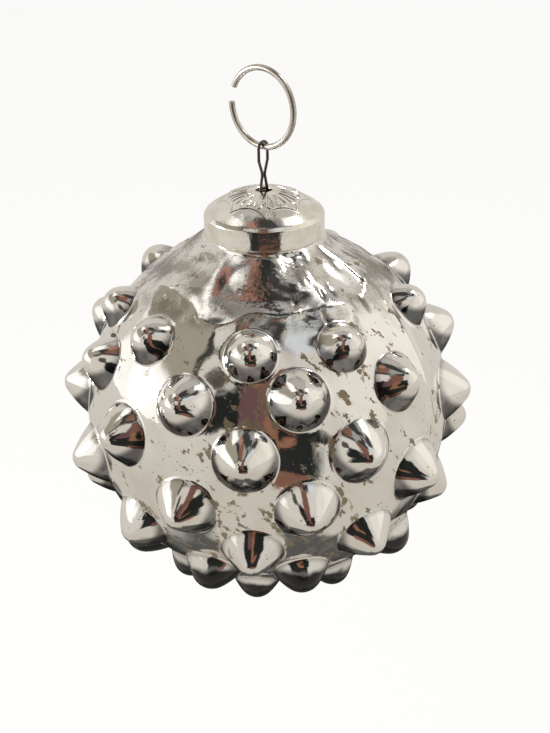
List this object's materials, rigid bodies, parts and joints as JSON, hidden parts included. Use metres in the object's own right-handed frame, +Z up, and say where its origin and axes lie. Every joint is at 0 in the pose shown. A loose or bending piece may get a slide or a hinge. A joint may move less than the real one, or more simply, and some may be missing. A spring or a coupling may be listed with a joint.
{
  "type": "christmas ornament",
  "caption": "Hollow blown glass ball with cone-shaped spikes all over, a pressed metal cap, a bent wire hanger and an open wire ring that it swings from.",
  "frame": {"origin": "the hang point: the inside of the ring at its top, on the ornament's own axis", "axes": "+Z up along the axis of the ball, the neck and the cap; +X along the ring wire where the loop hangs on it; the ring lies in the XZ plane and the wire loop in the YZ plane"},
  "size_m": [0.1134, 0.112, 0.1446],
  "materials": {
    "silvered_glass": "blown glass silvered on the inside, warm grey, with brown foxing",
    "cap_sheet": "pressed thin sheet, bright with light tarnish",
    "dark_wire": "blackened iron wire with a patch of rust",
    "bright_wire": "bright drawn wire with a brown cast"
  },
  "bodies": {
    "ring": {"hang_ring": "bright_wire"},
    "ornament": {"glass_body": "silvered_glass", "cap": "cap_sheet", "hanger_wire": "dark_wire"}
  },
  "joints": [
    {"name": "swing", "type": "hinge", "parent": "ring", "child": "ornament", "pos_m": [0, 0, -0.0196], "axis": [1, 0, 0], "range_deg": [-125, 125]}
  ]
}
